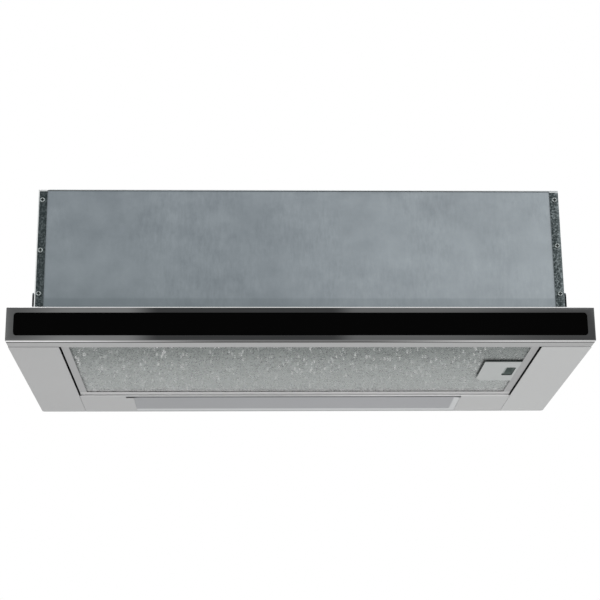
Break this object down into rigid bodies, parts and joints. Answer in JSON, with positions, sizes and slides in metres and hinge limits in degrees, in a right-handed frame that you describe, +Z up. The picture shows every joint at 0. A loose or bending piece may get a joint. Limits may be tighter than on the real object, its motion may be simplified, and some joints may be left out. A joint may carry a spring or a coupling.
{
  "type": "pull-out range hood",
  "caption": "Telescopic range hood for a wall cabinet: galvanised blower box, stainless underside, pull-out tray with black glass front and grease filter.",
  "frame": {"origin": "centre of the underside, in the plane of the side panels bottom faces", "axes": "+Z up, -Y towards the front panel and the cook, +X to the right seen from the front"},
  "size_m": [0.598, 0.305, 0.2015],
  "materials": {
    "stainless": "satin brushed",
    "bezel_stainless": "dark brushed, glossy",
    "black_glass": "polished black back-painted glass",
    "galvanised_steel": "hot-dip galvanised, faint spangle",
    "filter_aluminium": "satin",
    "filter_mesh": "expanded mesh, bright edges",
    "zinc_plated_steel": "zinc plated",
    "black_plastic": "moulded, fine texture",
    "grey_plastic": "moulded, satin",
    "white_plastic": "moulded",
    "lamp_diffuser": "frosted, slightly translucent",
    "circuit_board": "white solder mask"
  },
  "bodies": {
    "casing": {"side_panel_left": "stainless", "side_panel_right": "stainless", "lower_casing": "galvanised_steel", "lamp_panel": "stainless", "lamp_lens": "lamp_diffuser", "lamp_trough": "galvanised_steel", "led_strip": "circuit_board", "box_wall_left": "galvanised_steel", "box_wall_right": "galvanised_steel", "front_sheet": "galvanised_steel", "rear_sheet": "galvanised_steel", "top_cover": "galvanised_steel", "box_screw_left_1": "zinc_plated_steel", "box_screw_left_2": "zinc_plated_steel", "box_screw_left_3": "zinc_plated_steel", "box_screw_right_1": "zinc_plated_steel", "box_screw_right_2": "zinc_plated_steel", "box_screw_right_3": "zinc_plated_steel", "inner_filter_frame": "filter_aluminium", "inner_filter_mesh": "filter_mesh", "blower_half_left": "black_plastic", "blower_half_right": "black_plastic", "motor": "zinc_plated_steel", "motor_bracket": "zinc_plated_steel", "outlet_collar": "black_plastic", "flap_axle": "zinc_plated_steel", "terminal_box": "black_plastic", "terminal_lid": "black_plastic", "capacitor": "white_plastic", "cable_bushing": "black_plastic", "tray_switch": "black_plastic", "slide_outer_left": "zinc_plated_steel", "slide_outer_right": "zinc_plated_steel"},
    "tray": {"front_bezel": "bezel_stainless", "glass_strip": "black_glass", "front_beam": "stainless", "control_strip": "black_plastic", "switch_board": "circuit_board", "tray_frame": "zinc_plated_steel", "tray_cover": "galvanised_steel", "slide_inner_left": "zinc_plated_steel", "slide_inner_right": "zinc_plated_steel"},
    "cage_left": {"ball_cage_left": "zinc_plated_steel"},
    "cage_right": {"ball_cage_right": "zinc_plated_steel"},
    "filter": {"filter_frame": "filter_aluminium", "filter_mesh": "filter_mesh", "latch_plate": "grey_plastic", "latch_spring": "zinc_plated_steel"},
    "latch": {"latch_slide": "grey_plastic"},
    "fan": {"fan_wheel": "black_plastic", "motor_shaft": "zinc_plated_steel", "wheel_nut": "zinc_plated_steel"},
    "rear_flap": {"flap_rear": "black_plastic"},
    "front_flap": {"flap_front": "black_plastic"},
    "low_button": {"button_low": "black_plastic"},
    "medium_button": {"button_medium": "black_plastic"},
    "high_button": {"button_high": "black_plastic"},
    "light_button": {"button_light": "black_plastic"}
  },
  "joints": [
    {"name": "tray_slide", "type": "slide", "parent": "casing", "child": "tray", "axis": [0, -1, 0], "range_m": [0, 0.15]},
    {"name": "cage_left_run", "type": "slide", "parent": "casing", "child": "cage_left", "axis": [0, -1, 0], "range_m": [0, 0.075]},
    {"name": "cage_right_run", "type": "slide", "parent": "casing", "child": "cage_right", "axis": [0, -1, 0], "range_m": [0, 0.075]},
    {"name": "filter_swing", "type": "hinge", "parent": "tray", "child": "filter", "pos_m": [-0.2448, -0.027, 0.0023], "axis": [0, 1, 0], "range_deg": [0, 80]},
    {"name": "latch_pull", "type": "slide", "parent": "filter", "child": "latch", "axis": [-1, 0, 0], "range_m": [0, 0.006], "stiffness_N_per_m": 400, "springref_m": -0.004, "deforming": ["latch_spring"]},
    {"name": "fan_spin", "type": "hinge", "parent": "casing", "child": "fan", "pos_m": [0, 0.0135, 0.108], "axis": [1, 0, 0], "continuous": true},
    {"name": "rear_flap_swing", "type": "hinge", "parent": "casing", "child": "rear_flap", "pos_m": [0, 0.0575, 0.19], "axis": [1, 0, 0], "range_deg": [0, 80]},
    {"name": "front_flap_swing", "type": "hinge", "parent": "casing", "child": "front_flap", "pos_m": [0, 0.0575, 0.19], "axis": [-1, 0, 0], "range_deg": [0, 80]},
    {"name": "low_press", "type": "slide", "parent": "tray", "child": "low_button", "axis": [0, 0, -1], "range_m": [0, 0.0016], "stiffness_N_per_m": 500, "springref_m": -0.001},
    {"name": "medium_press", "type": "slide", "parent": "tray", "child": "medium_button", "axis": [0, 0, -1], "range_m": [0, 0.0016], "stiffness_N_per_m": 500, "springref_m": -0.001},
    {"name": "high_press", "type": "slide", "parent": "tray", "child": "high_button", "axis": [0, 0, -1], "range_m": [0, 0.0016], "stiffness_N_per_m": 500, "springref_m": -0.001},
    {"name": "light_press", "type": "slide", "parent": "tray", "child": "light_button", "axis": [0, 0, -1], "range_m": [0, 0.0016], "stiffness_N_per_m": 500, "springref_m": -0.001}
  ],
  "couplings": [
    {"joint": "cage_left_run", "follows": "tray_slide", "ratio": 0.5},
    {"joint": "cage_right_run", "follows": "tray_slide", "ratio": 0.5}
  ]
}
